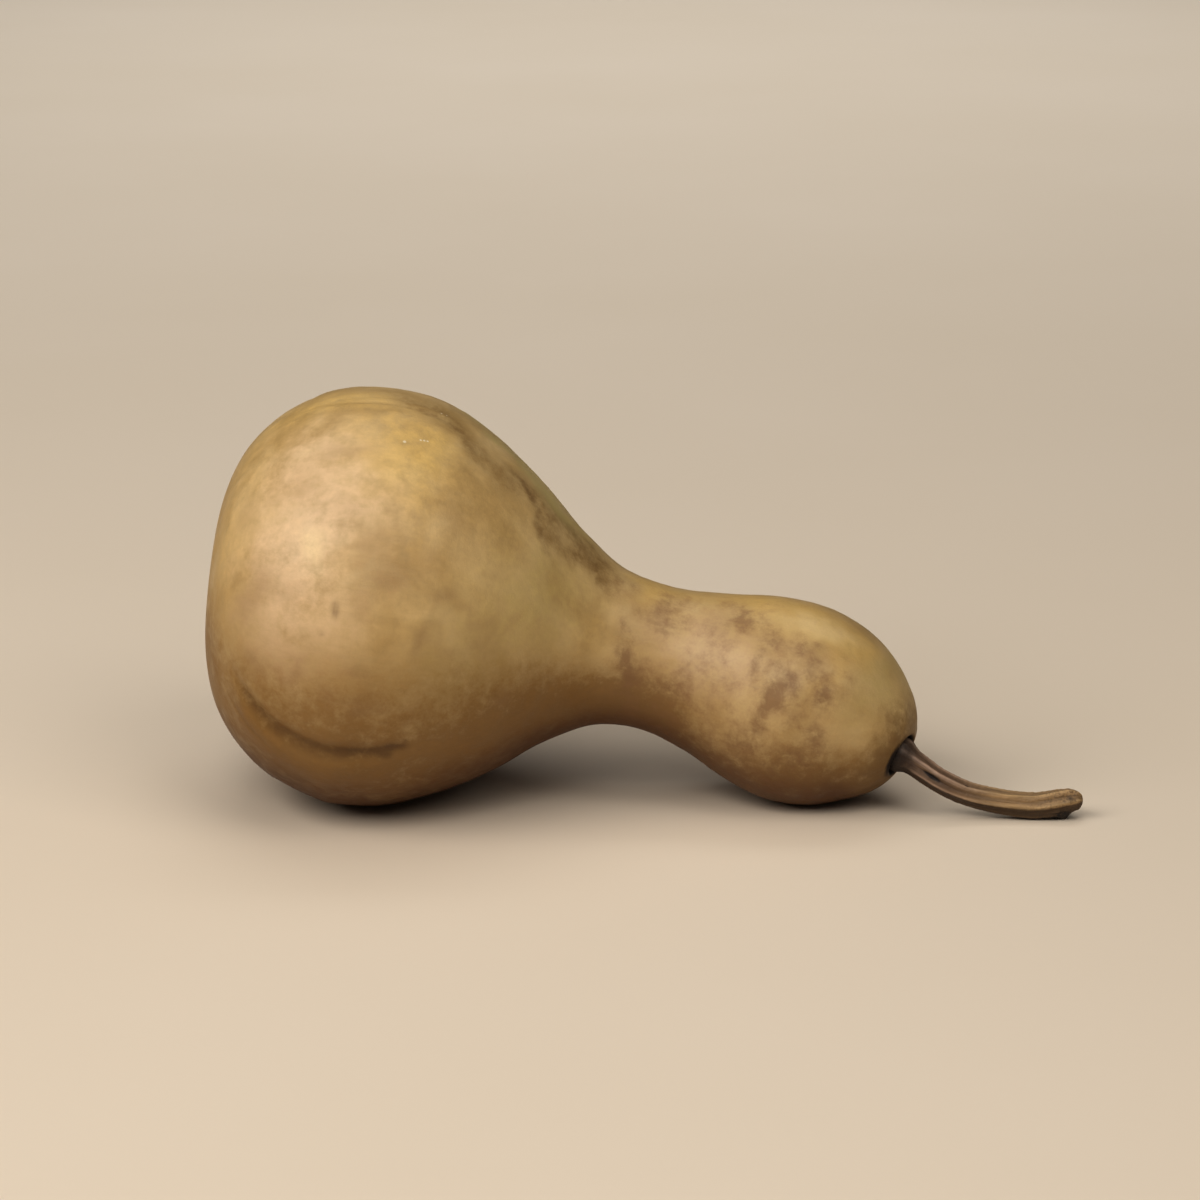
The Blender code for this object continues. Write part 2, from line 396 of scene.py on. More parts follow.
def closed_skin(name, grid, material):
    """A closed mesh of a grid of rings: quads between neighbouring rings, the last point of a
    ring joined to its first, and a fan of triangles onto the one point at each end."""
    rows, columns = grid.shape[:2]
    inner = grid[1:-1].reshape(-1, 3)
    points = np.vstack([grid[0, :1], inner, grid[-1, :1]])
    column = np.arange(columns)
    after = (column + 1) % columns
    row = np.arange(rows - 3)[:, None] * columns + 1
    quads = np.stack([row + column, row + columns + column, row + columns + after, row + after], -1)
    first = np.stack([np.zeros_like(column), 1 + column, 1 + after], -1)
    base = 1 + (rows - 3) * columns
    last = np.stack([np.full_like(column, len(points) - 1), base + after, base + column], -1)
    mesh = bpy.data.meshes.new(name)
    faces = quads.reshape(-1, 4).tolist() + first.tolist() + last.tolist()
    mesh.from_pydata(points.tolist(), [], faces)
    mesh.update()
    mesh.shade_smooth()
    mesh.materials.append(material)
    skin = bpy.data.objects.new(name, mesh)
    bpy.context.scene.collection.objects.link(skin)
    return skin


def keep_field(skin, name, field):
    """Write a field of the grid to the mesh's points as an attribute: numbers or vectors."""
    rows = field.shape[0]
    kind = "FLOAT_VECTOR" if field.ndim == 3 else "FLOAT"
    wide = field.reshape(rows, field.shape[1], -1)
    flat = np.vstack([wide[0, :1], wide[1:-1].reshape(-1, wide.shape[2]), wide[-1, :1]])
    attribute = skin.data.attributes.new(name, kind, "POINT")
    key = "vector" if field.ndim == 3 else "value"
    attribute.data.foreach_set(key, flat.astype(np.float32).ravel())


# Markings of the rind: distance along in mm, angle in degrees, half length and
# half breadth in mm, lean in degrees, strength
GOLDEN = (
    (46, 56, 14, 16, 0, 0.9),
    (30, 84, 22, 8, 0, 0.7),
    (52, 68, 12, 10, 0, 0.5),
    (160, 68, 14, 9, 0, 1.0),
    (178, 64, 9, 7, 0, 0.8),
    (148, 84, 18, 10, 0, 0.8),
    (124, 76, 9, 7, 0, 0.7),
    (118, 82, 6, 8, 0, 0.5),
    (6, 30, 9, 24, 0, 0.4),
    (174, 29, 5, 4, 0, 0.6),
    (178, 42, 4, 4, 0, 0.6),
    (150, 200, 20, 12, 0, 0.6),
    (45, 190, 22, 24, 0, 0.6),
    (30, 235, 18, 16, 0, 0.5),
)
BLOOM = (
    (24, 30, 15, 26, 0, 0.9),
    (26, 60, 13, 12, 0, 0.6),
    (40, 42, 12, 10, 0, 0.6),
    (22, 2, 12, 16, 0, 0.5),
    (42, 2, 14, 16, 0, 0.4),
    (134, 26, 14, 16, 0, 0.6),
    (150, 22, 12, 14, 0, 0.4),
    (60, 150, 20, 20, 0, 0.5),
    (20, 210, 14, 26, 0, 0.6),
    (140, 240, 16, 14, 0, 0.5),
)
# Pale cream patches; the strongest, on the large bulb's front and the small bulb's top, are a painted
# highlight
CREAM_AND_PAINTED_HIGHLIGHT = (
    (28, 28, 5, 6, 0, 0.65),
    (31, 25, 2.5, 7, 0, 0.30),
    (25, 58, 6, 4, 0, 0.45),
    (47, 53, 7, 6, 0, 0.45),
    (38, 18, 4, 5, 0, 0.30),
    (12, 46, 4, 8, 0, 0.30),
    (160, 66, 9, 6, 0, 0.95),
    (172, 66, 7, 5, 0, 0.80),
    (134, 30, 6, 8, 0, 0.15),
    (30, 200, 10, 14, 0, 0.5),
    (150, 210, 8, 8, 0, 0.4),
)
OLIVE = (
    (82, 100, 16, 9, 0, 1.0),
    (96, 88, 10, 7, 0, 0.6),
    (84, 30, 20, 26, 0, 0.5),
    (72, -4, 16, 18, 0, 0.5),
    (98, 34, 12, 14, 0, 0.4),
    (188, 44, 8, 14, 0, 0.6),
    (190, 88, 8, 12, 0, 0.5),
    (80, 180, 20, 24, 0, 0.6),
    (180, 200, 12, 18, 0, 0.5),
)
SMUDGE = (
    (49, 22, 8, 6, 0, 0.75),
    (43, 13, 7, 6, 0, 0.50),
    (13, 8, 5, 7, 0, 0.55),
    (44, 30, 6, 5, 0, 0.45),
    (65, 44, 4, 8, 20, 0.45),
    (67, 19, 4, 4, 0, 0.60),
    (63, 6, 2.4, 6, 0, 0.65),
    (70, 7, 4, 3, 0, 0.45),
    (79, 7, 4, 4, 0, 0.50),
    (75, 14, 3, 3, 0, 0.45),
    (73, 0, 4, 3, 0, 0.40),
    (85, -12, 4, 3, 0, 0.60),
    (46, -4, 6, 4, 0, 0.60),
    (53, -14, 8, 4, 0, 0.60),
    (17, -8, 3, 3, 0, 0.60),
    (27, -5, 3, 3, 0, 0.55),
    (16, 18, 5, 6, 0, 0.50),
    (24, 14, 5, 4, 0, 0.40),
    (22, 46, 6, 5, 0, 0.40),
    (34, 58, 7, 5, 0, 0.50),
    (38, 40, 5, 6, 0, 0.30),
    (10, 40, 4, 8, 0, 0.35),
    (34, 76, 8, 5, 0, 0.35),
    (60, 30, 5, 5, 0, 0.30),
    (163, 34, 10, 10, 0, 0.45),
    (170, 8, 9, 9, 0, 0.45),
    (38, -12, 5, 3, 0, 0.40),
    (62, 200, 10, 12, 0, 0.6),
    (34, 170, 8, 12, 0, 0.5),
    (20, 250, 8, 10, 0, 0.5),
    (90, 230, 8, 8, 0, 0.5),
    (48, 130, 9, 8, 0, 0.5),
)
MOTTLE = (
    (116, 34, 3, 4, 0, 0.55),
    (118, 11, 4, 4, 0, 0.70),
    (119, 25, 5, 5, 0, 0.45),
    (176, 21, 6, 5, 0, 0.45),
    (119, -5, 4, 5, 0, 0.55),
    (131, -6, 5, 4, 0, 0.55),
    (123, 50, 5, 3, 0, 0.55),
    (127, 68, 5, 4, 0, 0.65),
    (112, 64, 5, 5, 0, 0.45),
    (138, 74, 5, 3, 0, 0.35),
    (147, 57, 6, 4.0, -10, 1.05),
    (139, 40, 5, 5, 0, 0.35),
    (143, 14, 5, 5, 0, 0.35),
    (134, 12, 4, 4, 0, 0.35),
    (166, 20, 3.2, 3.2, 0, 0.70),
    (160, 18, 2.6, 3.0, 0, 0.55),
    (167, 50, 3.0, 2.4, 0, 0.55),
    (182, 40, 3.2, 3.0, 0, 0.35),
    (154, 44, 2.0, 5, 0, 0.60),
    (154, 30, 1.8, 6, 0, 0.50),
    (159, 6, 2.2, 6, 0, 0.55),
    (161, 47, 3.4, 2.6, 20, 0.80),
    (163, 28, 3.6, 3.0, -20, 0.95),
    (168, 40, 4, 2.0, -15, 0.70),
    (172, 34, 4, 2.0, 20, 0.60),
    (178, 25, 3.0, 3.6, 0, 1.05),
    (162, 10, 4, 2.4, 0, 0.60),
    (171, 2, 4, 2.8, 0, 0.65),
    (158, -7, 3, 3, 0, 0.50),
    (155, -20, 4, 3, 0, 0.55),
    (179, -2, 4, 2.4, 10, 0.85),
    (183, -9, 3, 2.6, 0, 0.65),
    (176, -18, 5, 2.6, 0, 0.60),
    (169, -29, 4, 2.6, 0, 0.55),
    (178, 58, 3, 2.4, 0, 0.45),
    (194, 40, 3, 3, 0, 0.50),
    (143, -10, 6, 4, 0, 0.40),
    (165, 130, 7, 5, 0, 0.7),
    (150, 160, 6, 6, 0, 0.6),
    (172, 190, 5, 6, 0, 0.7),
    (158, 225, 6, 5, 0, 0.6),
    (135, 190, 5, 5, 0, 0.5),
    (122, 230, 5, 5, 0, 0.5),
    (128, 140, 5, 5, 0, 0.6),
)
STAIN = (
    (58, 78, 6, 4, -30, 0.35),
    (66, 70, 5, 5, -40, 0.45),
    (72, 64, 4, 4, -40, 0.25),
    (85, 80, 7, 4, -20, 0.45),
    (90, 70, 6, 3, -30, 0.45),
    (99, 80, 6, 5, 0, 0.40),
    (105, 78, 6, 6, 0, 0.45),
    (101, 68, 5, 5, -20, 0.40),
    (107, 63, 5, 4, 0, 0.35),
    (98, 60, 4, 4, 0, 0.35),
    (70, 118, 12, 8, -15, 0.7),
    (98, 125, 9, 8, 0, 0.8),
    (110, 110, 8, 8, 0, 0.7),
)
# Lines laid on the surface: distance along in mm, angle in degrees, strength
SHOULDER_BAND = (
    (24, 94, 0.35),
    (40, 91, 0.55),
    (50, 86, 0.80),
    (58, 80, 0.85),
    (66, 74, 0.80),
    (73, 72, 0.75),
    (81, 77, 0.72),
    (90, 78, 0.70),
    (98, 77, 0.70),
    (106, 75, 0.70),
    (111, 66, 0.45),
    (113, 56, 0.20),
)
INNER_BAND = (
    (80, 73, 0.5),
    (86, 68, 0.7),
    (93, 64, 0.7),
    (100, 64, 0.65),
    (106, 66, 0.65),
    (110, 62, 0.4),
)
GREEN_STRIP = (
    (60, 99, 0.5),
    (72, 94, 1.1),
    (82, 89, 1.1),
    (90, 85, 1.0),
    (97, 82, 0.5),
)
SHOULDER_LINE = (
    (74, 80, 0.4),
    (79, 75, 1.0),
    (83, 69, 1.0),
    (86, 63, 0.9),
    (89, 55, 0.7),
    (92, 48, 0.5),
    (98, 42, 0.3),
)
# The crease's frayed right end, a line of painted shade
CREASE_END = (
    (47, -30.6, 0.3),
    (52, -29.8, 0.8),
    (57, -29.4, 1.0),
    (61, -28.2, 0.9),
    (65, -26.8, 0.3),
)
# Half widths of these lines in mm
BAND_WIDE, INNER_WIDE, GREEN_WIDE, LINE_WIDE, END_WIDE = 7.0, 5.5, 5.2, 2.5, 2.2
# Small brown spots, as the markings above
GROWTH_SPOTS = (
    (37, 11.5, 1.5, 3.0, 10, 1.0),
    (34, 4.5, 1.2, 1.1, 0, 0.6),
    (63, -24, 1.2, 1.2, 0, 0.8),
    (61, -26.5, 4.0, 1.1, 0, 0.7),
    (84, -11, 1.6, 1.4, 0, 0.5),
    (96, 215, 1.6, 2.2, 0, 0.8),
    (40, 160, 1.4, 2.0, 0, 0.7),
)

# Specks of dust: distance along in mm, angle in degrees, size in mm
DUST_SPECKS = (
    (46.0, 64.0, 0.65),
    (49.0, 66.3, 0.45),
    (50.0, 66.6, 0.50),
    (51.0, 66.8, 0.45),
    (53.0, 83.8, 0.40),
    (54.4, 84.2, 0.35),
)


def facing_down(along, angle, girth, places):
    """How far the skin faces down, from -1 to 1: minus the sine of the angle, which a slow random
    field shifts a little. Toward both ends the slope of the middle line takes its place."""
    sway = unevenness(places, SHADE_SWAY) / np.maximum(girth, LEAST_GIRTH)
    turns = np.where(along < BLOSSOM_PART, BLOSSOM_TURNS, STEM_TURNS)
    sideways = (along > BLOSSOM_PART) & (along < STEM_PART)
    share = np.where(sideways, 1.0, ease(girth, 0.0, turns))
    slope = np.where(along < BLOSSOM_PART, BLOSSOM_SLOPE, STEM_SLOPE)
    return -np.sin(angle + sway) * share + slope * (1 - share)


def crease_shade(along, angle, girth, at, turn):
    """Painted shade in the crease, in the short second one and at the crease's frayed right end."""
    beside, fade = crease_fields(along, angle)
    shade = 0.85 * bump(beside + 0.0006, 0.0032) * fade * ramp(along, 0.008, 0.016)
    shade *= 1 - 0.15 * ramp(along, 0.040, 0.062)
    shade += 0.5 * strokes(along, angle, girth, SECOND_CREASE, 1.4)
    return shade + 0.7 * strokes(at, turn, girth, CREASE_END, END_WIDE)


def rind_fields(along, angle, girth, places):
    """The rind's markings as fields of 0 to about 1. The distance along and the angle are first
    shifted by slow random fields, so that each oval mark gets an uneven shore."""
    at = along + unevenness(places, DRIFT)
    turn = angle + unevenness(places, SWAY) / np.maximum(girth, LEAST_GIRTH)
    near_stem, near_blossom = along > STEM_END, along < BLOSSOM_END
    small_end = ease(along, *ONTO_SMALL_BULB) * (1 - 0.55 * ease(along, *MOTTLES_THIN))
    halo = ease(girth, *HALO) * near_stem
    band = strokes(at, turn, girth, SHOULDER_BAND, BAND_WIDE)
    band = np.maximum(band, strokes(at, turn, girth, INNER_BAND, INNER_WIDE))
    stain = marks(at, turn, girth, STAIN)
    stain += 0.85 * strokes(at, turn, girth, SHOULDER_LINE, LINE_WIDE)
    mottle = marks(at, turn, girth, MOTTLE)
    # Painted shade: two browns that grow with how far the skin faces down
    down = facing_down(along, angle, girth, places)
    neck = ease(along, *ONTO_NECK)
    waist = ease(along, *INTO_WAIST) * ease(along, *OUT_OF_WAIST)
    painted_underside_shade = ease(down, 0.45, 1.0) * (1 - 0.3 * neck) + 0.45 * neck * ease(down, 0.0, 0.7)
    beside, fade = crease_fields(along, angle)
    painted_belly_shade = ease(down, -0.40, 0.62) * (1 - 0.52 * bump(along - 0.150, 0.015))
    # More painted shade on the crease's lower lip and under the waist; browner at the blossom end
    painted_belly_shade += 0.24 * bump(beside + 0.009, 0.0075) * fade
    painted_belly_shade += 0.46 * waist * ease(down, -0.55, 0.70) + 0.36 * ease(along, *TO_BLOSSOM)
    # The joint's own black on the collar, and painted shade in the hollow the stem sits in
    collar = 1.1 * ease(girth, *COLLAR) * bump(angle + 0.15, 0.95)
    collar = np.maximum(collar, 0.9 * ease(girth, *HOLLOW)) * near_stem
    scar = (0.9 * bump(girth, 0.0032) + 0.4 * bump(girth - 0.0062, 0.0020)) * near_blossom
    spots = 0.75 * marks(along, angle, girth, GROWTH_SPOTS)
    return {
        "golden": marks(at, turn, girth, GOLDEN),
        "bloom": marks(at, turn, girth, BLOOM),
        "cream_and_painted_highlight": marks(at, turn, girth, CREAM_AND_PAINTED_HIGHLIGHT),
        "olive": marks(at, turn, girth, OLIVE),
        "painted_belly_shade": painted_belly_shade,
        "painted_underside_shade": painted_underside_shade,
        "band": np.maximum(band, 1.30 * halo),
        "green": strokes(at, turn, girth, GREEN_STRIP, GREEN_WIDE),
        "smudge": marks(at, turn, girth, SMUDGE) + 0.12 * (1 - small_end),
        "mottle": 0.90 * mottle / (1 + 0.35 * mottle) + 0.60 * small_end,
        "stain": stain + 0.44 * top_wrinkles(along, angle) + 0.7 * halo**2,
        # Painted shade in the creases, with the blossom scar and the brown growth spots
        "groove": crease_shade(along, angle, girth, at, turn) + scar + spots,
        "collar": collar,
    }


def dressed_fruit(material):
    """The fruit: each point is the middle line's point plus the ring's outward direction times
    the radius, none of them under the surface that the gourd lies on."""
    along, radius = ring_profile(BODY_OUTLINE, RIND_STEP)
    points, _, near, upper = middle_line(BODY_PATH, along)
    angle = np.linspace(-math.pi, math.pi, RIND_POINTS, endpoint=False)[None, :]
    along, radius = along[:, None], radius[:, None]
    across = near[:, None] * np.cos(angle)[..., None] + upper[:, None] * np.sin(angle)[..., None]
    plain = body_radius(along, radius, angle)
    places = points[:, None] + across * plain[..., None]
    girth = np.maximum(radius, 1e-5) + 0 * angle
    reach = plain + rind_relief(along, angle, girth, places)
    grid = points[:, None] + across * reach[..., None]
    grid[0], grid[-1] = points[0], points[-1]
    grid[..., 2] = np.maximum(grid[..., 2], 0.0)
    skin = closed_skin("dressed_gourd", grid, material)
    for name, field in rind_fields(along, angle, girth, places).items():
        keep_field(skin, name, field)
    round_axis = [np.cos(angle) * girth, np.sin(angle) * girth]
    lengthwise = np.stack(round_axis + [along / STREAK_STRETCH + 0 * angle], -1)
    keep_field(skin, "lengthwise", lengthwise)
    return skin


# The stem's surface

# Slits, dark with painted shade, and dark spots at the foot, on the tip and on the nub, the
# nub's a painted shadow where it meets the floor: distance along in mm, angle in degrees, half
# length and half breadth in mm, lean in degrees, strength
STEM_SLITS = (
    (12.8, 9, 2.8, 0.6, 0, 1.0),
    (22.5, 57, 1.2, 0.4, 0, 0.6),
)
DARK_SPOTS = (
    (1.0, -8, 2.4, 4.0, 0, 1.1),
    (52.5, 30, 1.0, 1.0, 0, 0.6),
    (NUB_AT / MM, -90, 3.2, 3.2, 0, 1.6),
)
SLIT_DEPTH = 0.0004
# Random fields, each row a strength, a size in metres and a seed: the heights of the fibres, of
# the torn tip's roughness and of the whole stem's
FIBRES = ((0.00009, 0.0016, 41), (0.00006, 0.0008, 42))
TORN_ROUGH, WHOLE_ROUGH = ((0.00013, 0.0022, 43),), ((0.00005, 0.0012, 44),)
# Radii over which the relief fades in from the axis
RELIEF_IN = (0.0004, 0.0020)
# The fibres' own radius, and how many times longer than wide they are
FIBRE_RADIUS, FIBRE_STRETCH = 0.0035, 14
# Where, along the stem, its foot ends, and where it turns bleached and torn
FOOT, BLEACHED, TORN = (0.0040, 0.0150), (0.014, 0.036), (0.036, 0.052)
# How far round, in radians, the underside's shade is turned near the foot, and where that ends
SHADE_TURN, SHADE_TURNED = 0.40, (0.040, 0.015)


def stem_ridges(along, angle):
    """The angle counted from a ridge's crest, which turns along the stem, and the ridges: 1 on a
    crest and -1 in a groove."""
    turned = angle - RIDGE_TURN + RIDGE_TWIST * along / STEM_OUTLINE[-1][0]
    return turned, 1 - 2 * np.abs(np.sin(turned * STEM_RIDGES / 2)) ** RIDGE_POWER


def stem_radius(along, radius, angle):
    """The solids' radius: the outline times one plus rounded ridges with narrow grooves between,
    and the nub below, a bump along times a bump round."""
    ridges = stem_ridges(along, angle)[1]
    height = RIDGE_HEIGHT * ramp(along, RIDGE_START, RIDGE_FULL)
    from_below = np.arctan2(np.cos(angle), -np.sin(angle))
    nub = NUB_HEIGHT * bump(along - NUB_AT, NUB_HALF_LENGTH) * bump(from_below, NUB_HALF_ANGLE)
    return radius * (1 + height * ridges) + nub


def dressed_stem(material):
    """The stem: the middle line plus the outward direction times the radius, with fine lengthwise
    fibres, slits between the ridges, and a rough, torn tip."""
    along, radius = ring_profile(STEM_OUTLINE, WOOD_STEP)
    points, _, near, upper = middle_line(stem_path(), along)
    angle = np.linspace(-math.pi, math.pi, WOOD_POINTS, endpoint=False)[None, :]
    along, radius = along[:, None], radius[:, None]
    across = near[:, None] * np.cos(angle)[..., None] + upper[:, None] * np.sin(angle)[..., None]
    plain = stem_radius(along, radius, angle)
    places = points[:, None] + across * plain[..., None]
    turned, ridges = stem_ridges(along, angle)
    girth = np.maximum(radius, 1e-5) + 0 * angle
    round_axis = [np.cos(turned) * FIBRE_RADIUS, np.sin(turned) * FIBRE_RADIUS]
    fibre_place = np.stack(round_axis + [along / FIBRE_STRETCH + 0 * angle], -1)
    fibres = unevenness(fibre_place, FIBRES)
    torn = ramp(along, *TORN)
    rough = unevenness(places, TORN_ROUGH) * torn**2 + unevenness(places, WHOLE_ROUGH)
    slit = marks(along, angle, girth, STEM_SLITS)
    inside = ease(radius, *RELIEF_IN)
    reach = plain + (fibres + rough - SLIT_DEPTH * slit) * inside
    grid = points[:, None] + across * reach[..., None]
    grid[0], grid[-1] = points[0], points[-1]
    grid[..., 2] = np.maximum(grid[..., 2], 0.0)
    skin = closed_skin("dressed_stem", grid, material)
    lower = SHADE_TURN * ramp(along, *SHADE_TURNED)
    foot = (1 - ramp(along, *FOOT)) * (1 - 0.25 * ramp(np.sin(angle), 0.3, 0.9))
    keep_field(skin, "foot", foot)
    keep_field(skin, "toward_tip", ease(along, *BLEACHED) + 0 * angle)
    # The crests' pale, a painted highlight, held back where the stem faces down
    keep_field(skin, "ridge", ridges - 0.45 * ease(-np.sin(angle), -0.2, 0.3))
    # Painted shade on the stem's lower side, turned round near the foot
    keep_field(skin, "under", ease(-np.sin(angle + lower), -0.14, 0.30))
    # The slits' dark and the spot under the nub are painted shade; the other spots are the stem's own
    keep_field(skin, "slit", slit + 0.8 * marks(along, angle, girth, DARK_SPOTS))
    keep_field(skin, "torn", torn + 0 * angle)
    keep_field(skin, "fibre", fibre_place)
    return skin


# Materials


def linear(code):
    """An sRGB hex colour as linear red, green, blue and alpha 1."""
    parts = [int(code[i : i + 2], 16) / 255 for i in (1, 3, 5)]
    return [c / 12.92 if c <= 0.04045 else ((c + 0.055) / 1.055) ** 2.4 for c in parts] + [1.0]


def put(tree, kind, wires=None, **settings):
    """Add a node with its settings; a wire is a socket to link, or a value to set."""
    node = tree.nodes.new(kind)
    for name, value in settings.items():
        setattr(node, name, value)
    for name, value in (wires or {}).items():
        if isinstance(value, bpy.types.NodeSocket):
            tree.links.new(value, node.inputs[name])
        else:
            node.inputs[name].default_value = value
    return node


def new_material(name):
    """A material with a Principled shader, and the two of them."""
    material = bpy.data.materials.new(name)
    material.use_nodes = True
    return material, material.node_tree, material.node_tree.nodes["Principled BSDF"]


# The rind's noises: name, scale, detail, roughness, distortion and how much it frays the marks.
# Their features are about 20, 5, 2 and 0.7 mm
RIND_NOISES = (
    ("broad", 50.0, 4.0, 0.50, 0.6, 1.0),
    ("mid", 200.0, 4.0, 0.50, 0.5, 1.9),
    ("fine", 520.0, 4.0, 0.62, 0.0, 1.2),
    ("grit", 1500.0, 2.0, 0.50, 0.0, 0.4),
)
DARK_TAN, PALE_TAN, DUST_COLOUR = "#B39663", "#CBB07F", "#E6DCC2"
# The rind's markings: colour, how strongly it is frayed, the values between which it grows, and
# its full share
RIND_MARKS = (
    ("golden", "#CFAF6A", 0.6, 0.05, 1.15, 0.70),
    ("bloom", "#D0B592", 0.6, 0.05, 1.10, 0.80),
    # Pale cream, partly a painted highlight
    ("cream_and_painted_highlight", "#DFCA9C", 0.5, 0.05, 1.15, 0.50),
    ("olive", "#AC9A62", 0.9, 0.05, 1.20, 0.60),
    # The next two browns are painted shade, darker where the skin faces down
    ("painted_belly_shade", "#785318", 0.7, 0.00, 1.10, 0.82),
    ("painted_underside_shade", "#563000", 0.5, 0.00, 1.05, 0.90),
    ("band", "#7F6234", 1.1, 0.05, 1.30, 0.74),
    ("green", "#B0A06A", 1.2, 0.10, 1.25, 0.60),
    ("smudge", "#8C6E4A", 0.55, 0.06, 1.30, 0.62),
    ("mottle", "#7E5F3F", 1.2, 0.04, 1.80, 0.84),
    ("stain", "#6C4F28", 1.1, 0.06, 1.35, 0.66),
    # groove: painted shade in the creases, with the blossom scar and the growth spots
    ("groove", "#553816", 0.8, 0.05, 1.30, 0.72),
    # collar: the joint's black, and painted shade in the stem's hollow
    ("collar", "#1A0B03", 0.6, 0.08, 0.80, 0.97),
)
# Small lights and darks: how far each noise darkens and lightens the colour
RIND_SHADES = (("mid", 0.93, 1.06), ("fine", 0.95, 1.05), ("streak", 0.98, 1.02))
# The bumps: noise, strength and depth in metres
RIND_BUMPS = (("grit", 0.35, 0.00006), ("fine", 0.5, 0.00018), ("streak", 0.35, 0.00012))
RIND_IOR, WOOD_IOR = 1.47, 1.5


def dried_gourd_rind():
    """Dried bottle gourd rind: a hard, corky skin, cured until its green went tan, then rubbed
    smooth by handling. To the eye it is satin, with soft clouds of golden, pinkish and olive tan
    under brown mould stains that have feathered edges, and it is dull in the black round the stem."""
    material, tree, shader = new_material("dried_gourd_rind")
    place = put(tree, "ShaderNodeTexCoord").outputs["Object"]
    noises = {}
    # One field that frays the marks, about 0 on average
    fray = -0.5 * sum(row[-1] for row in RIND_NOISES)
    for name, scale, detail, roughness, distortion, share in RIND_NOISES:
        wires = {"Vector": place, "Scale": scale, "Detail": detail}
        wires |= {"Roughness": roughness, "Distortion": distortion}
        noises[name] = put(tree, "ShaderNodeTexNoise", wires).outputs["Fac"]
        wires = {0: noises[name], 1: share, 2: fray}
        fray = put(tree, "ShaderNodeMath", wires, operation="MULTIPLY_ADD").outputs[0]
    # Streaks about 1.5 mm wide and 13 mm long
    grain = put(tree, "ShaderNodeAttribute", attribute_name="lengthwise").outputs["Vector"]
    wires = {"Vector": grain, "Scale": 700.0, "Detail": 3.0}
    noises["streak"] = put(tree, "ShaderNodeTexNoise", wires).outputs["Fac"]
    wires = {"Value": noises["broad"], "From Min": 0.35, "From Max": 0.65}
    tone = put(tree, "ShaderNodeMapRange", wires).outputs[0]
    wires = {0: tone, 6: linear(DARK_TAN), 7: linear(PALE_TAN)}
    colour = put(tree, "ShaderNodeMix", wires, data_type="RGBA").outputs[2]
    for name, code, torn, low, high, share in RIND_MARKS:
        mark = put(tree, "ShaderNodeAttribute", attribute_name=name).outputs["Fac"]
        wires = {0: fray, 1: torn, 2: 1.0}
        edge = put(tree, "ShaderNodeMath", wires, operation="MULTIPLY_ADD").outputs[0]
        wires = {0: mark, 1: edge}
        frayed = put(tree, "ShaderNodeMath", wires, operation="MULTIPLY").outputs[0]
        wires = {"Value": frayed, "From Min": low, "From Max": high, "To Max": share}
        cover = put(tree, "ShaderNodeMapRange", wires, interpolation_type="SMOOTHSTEP").outputs[0]
        wires = {0: cover, 6: colour, 7: linear(code)}
        colour = put(tree, "ShaderNodeMix", wires, data_type="RGBA").outputs[2]
    # Pale specks of dust: round, by the distance from each one's middle
    for spot, turn, size in DUST_SPECKS:
        wires = {0: place, 1: on_fruit(spot, turn)}
        apart = put(tree, "ShaderNodeVectorMath", wires, operation="DISTANCE").outputs["Value"]
        wires = {"Value": apart, "From Min": size * MM, "From Max": 0.4 * size * MM, "To Max": 0.7}
        cover = put(tree, "ShaderNodeMapRange", wires, interpolation_type="SMOOTHSTEP").outputs[0]
        wires = {0: cover, 6: colour, 7: linear(DUST_COLOUR)}
        colour = put(tree, "ShaderNodeMix", wires, data_type="RGBA").outputs[2]
    for name, dark, light in RIND_SHADES:
        wires = {"Value": noises[name], "From Min": 0.32, "From Max": 0.68}
        wires |= {"To Min": dark, "To Max": light}
        shade = put(tree, "ShaderNodeMapRange", wires).outputs[0]
        wires = {0: 1.0, 6: colour, 7: shade}
        colour = put(tree, "ShaderNodeMix", wires, data_type="RGBA", blend_type="MULTIPLY").outputs[2]
    tree.links.new(colour, shader.inputs["Base Color"])
    # Satin, in patches of mid size, and dull in the black collar
    wires = {"Value": noises["mid"], "From Min": 0.3, "From Max": 0.7, "To Min": 0.42, "To Max": 0.54}
    rough = put(tree, "ShaderNodeMapRange", wires).outputs[0]
    collar = put(tree, "ShaderNodeAttribute", attribute_name="collar").outputs["Fac"]
    wires = {0: collar, 1: 0.4, 2: rough}
    rough = put(tree, "ShaderNodeMath", wires, operation="MULTIPLY_ADD", use_clamp=True).outputs[0]
    tree.links.new(rough, shader.inputs["Roughness"])
    shader.inputs["IOR"].default_value = RIND_IOR
    wires = {}
    for name, strength, depth in RIND_BUMPS:
        wires |= {"Height": noises[name], "Strength": strength, "Distance": depth}
        wires["Normal"] = put(tree, "ShaderNodeBump", wires).outputs[0]
    tree.links.new(wires["Normal"], shader.inputs["Normal"])
    return material


# The stem's wood and its ridges' crests near the fruit and toward the tip, the crests' pale a
# painted highlight; its grooves, dark with painted shade, and its pits
WOOD_COLOURS, CREST_HIGHLIGHT_COLOURS = ("#6E5640", "#957A56"), ("#B29884", "#AC9068")
GROOVE_SHADE_COLOUR, PIT_COLOUR = "#4E3826", "#5A4630"
# The wood's markings: colour, the values between which it grows, and its full share. The lower
# side's dark, the slits' dark and the spot under the nub are painted shade
WOOD_MARKS = (
    ("under", "#43301E", 0.0, 0.90, 0.86),
    ("slit", "#150A06", 0.10, 0.65, 0.96),
    ("foot", "#28190F", 0.35, 1.08, 0.88),
)


